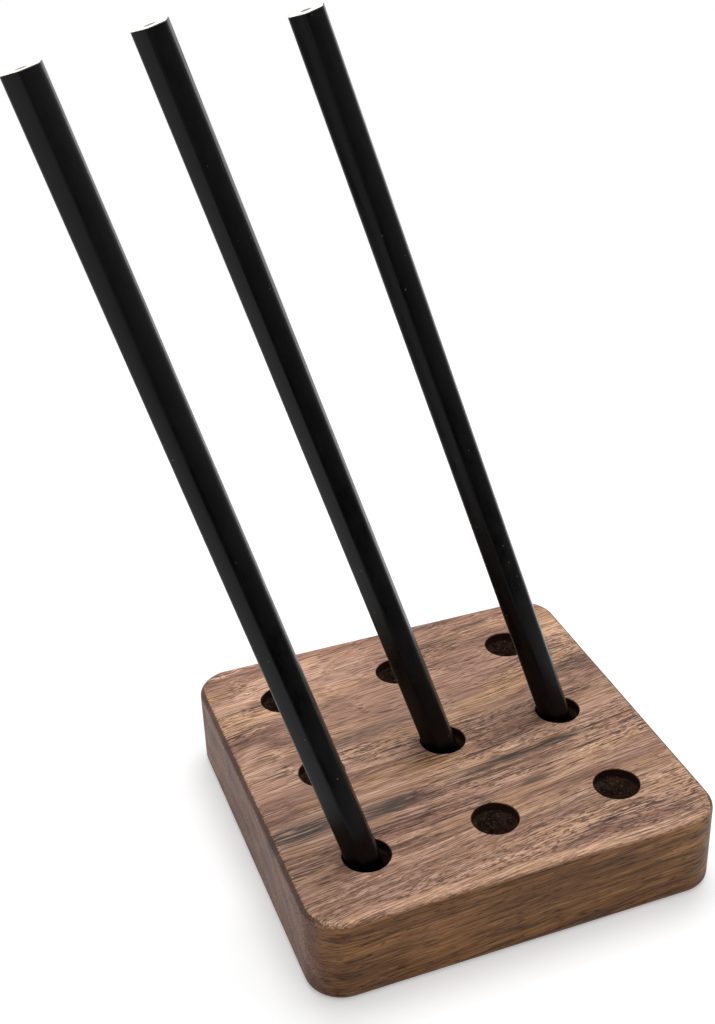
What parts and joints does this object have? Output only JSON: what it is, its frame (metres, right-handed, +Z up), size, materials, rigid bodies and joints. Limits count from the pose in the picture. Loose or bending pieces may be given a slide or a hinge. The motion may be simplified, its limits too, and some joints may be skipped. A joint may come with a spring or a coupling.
{
  "type": "pen stand",
  "caption": "Square walnut pen stand with rounded corners and a grid of blind drilled holes, holding loose black hexagonal pencils that lean and lift out.",
  "frame": {"origin": "middle of the block's underside, on the surface that it stands on", "axes": "+Z up, +X along the front edge from left to right, -Y out of the front face"},
  "size_m": [0.1254, 0.095, 0.1841],
  "materials": {
    "walnut": "satin",
    "black_lacquer": "satin",
    "graphite": "satin"
  },
  "bodies": {
    "stand": {"block": "walnut"},
    "left_pencil": {"left_pencil_front_slat": "black_lacquer", "left_pencil_back_slat": "black_lacquer", "left_pencil_core": "graphite"},
    "centre_pencil": {"centre_pencil_front_slat": "black_lacquer", "centre_pencil_back_slat": "black_lacquer", "centre_pencil_core": "graphite"},
    "right_pencil": {"right_pencil_front_slat": "black_lacquer", "right_pencil_back_slat": "black_lacquer", "right_pencil_core": "graphite"}
  },
  "joints": [
    {"name": "left_pencil_lift", "type": "slide", "parent": "stand", "child": "left_pencil", "axis": [-0.2569, 0.1544, 0.954], "range_m": [0, 0.05]},
    {"name": "centre_pencil_lift", "type": "slide", "parent": "stand", "child": "centre_pencil", "axis": [-0.2738, 0.1219, 0.954], "range_m": [0, 0.05]},
    {"name": "right_pencil_lift", "type": "slide", "parent": "stand", "child": "right_pencil", "axis": [-0.2738, 0.1219, 0.954], "range_m": [0, 0.05]}
  ]
}
